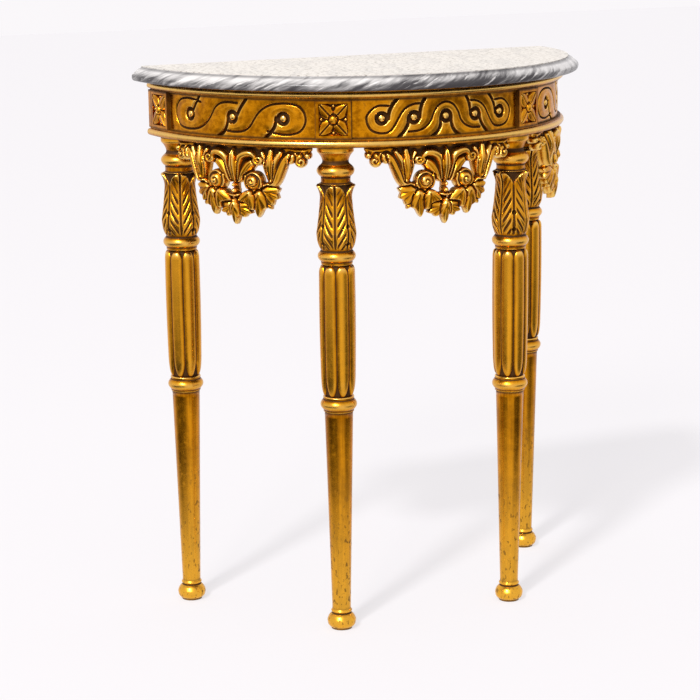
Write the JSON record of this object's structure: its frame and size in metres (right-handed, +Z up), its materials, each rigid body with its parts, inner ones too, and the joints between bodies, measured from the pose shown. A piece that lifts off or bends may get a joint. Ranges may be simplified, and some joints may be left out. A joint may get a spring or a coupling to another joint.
{
  "type": "half-moon console table",
  "caption": "Half-round wall console table: loose marble top on a carved gilt frieze with rosettes, pierced aprons and turned, reeded, tapering legs.",
  "frame": {"origin": "on the floor, under the middle of the bounding box of the half-round top", "axes": "+Z up, front of the table towards -Y, flat wall side towards +Y, +X to the right for a viewer in front"},
  "size_m": [0.686, 0.3429, 0.8],
  "materials": {
    "marble": "polished, cream white with grey veins, blue-grey edge",
    "gilt_wood": "worn antique water gilding over gesso",
    "bare_wood": "plain planed softwood",
    "screw_steel": "plain steel wood screws"
  },
  "bodies": {
    "frame": {"top_moulding": "gilt_wood", "lower_moulding": "gilt_wood", "frieze_panel_left": "gilt_wood", "frieze_panel_centre": "gilt_wood", "frieze_panel_right": "gilt_wood", "apron_left": "gilt_wood", "apron_centre": "gilt_wood", "apron_right": "gilt_wood", "leg_block_left_rear": "gilt_wood", "leg_block_left_front": "gilt_wood", "leg_block_right_front": "gilt_wood", "leg_block_right_rear": "gilt_wood", "rosette_left_rear": "gilt_wood", "rosette_left_front": "gilt_wood", "rosette_right_front": "gilt_wood", "rosette_right_rear": "gilt_wood", "leg_left_rear": "gilt_wood", "leg_left_front": "gilt_wood", "leg_right_front": "gilt_wood", "leg_right_rear": "gilt_wood", "back_rail": "bare_wood", "centre_bearer": "bare_wood", "glue_block_left_rear": "bare_wood", "glue_block_left_middle": "bare_wood", "glue_block_left_front": "bare_wood", "glue_block_right_front": "bare_wood", "glue_block_right_middle": "bare_wood", "glue_block_right_rear": "bare_wood", "apron_screws": "screw_steel"},
    "top": {"marble_top": "marble"}
  },
  "joints": [
    {"name": "top_lift", "type": "slide", "parent": "frame", "child": "top", "axis": [0, 0, 1], "range_m": [0, 0.12]}
  ]
}
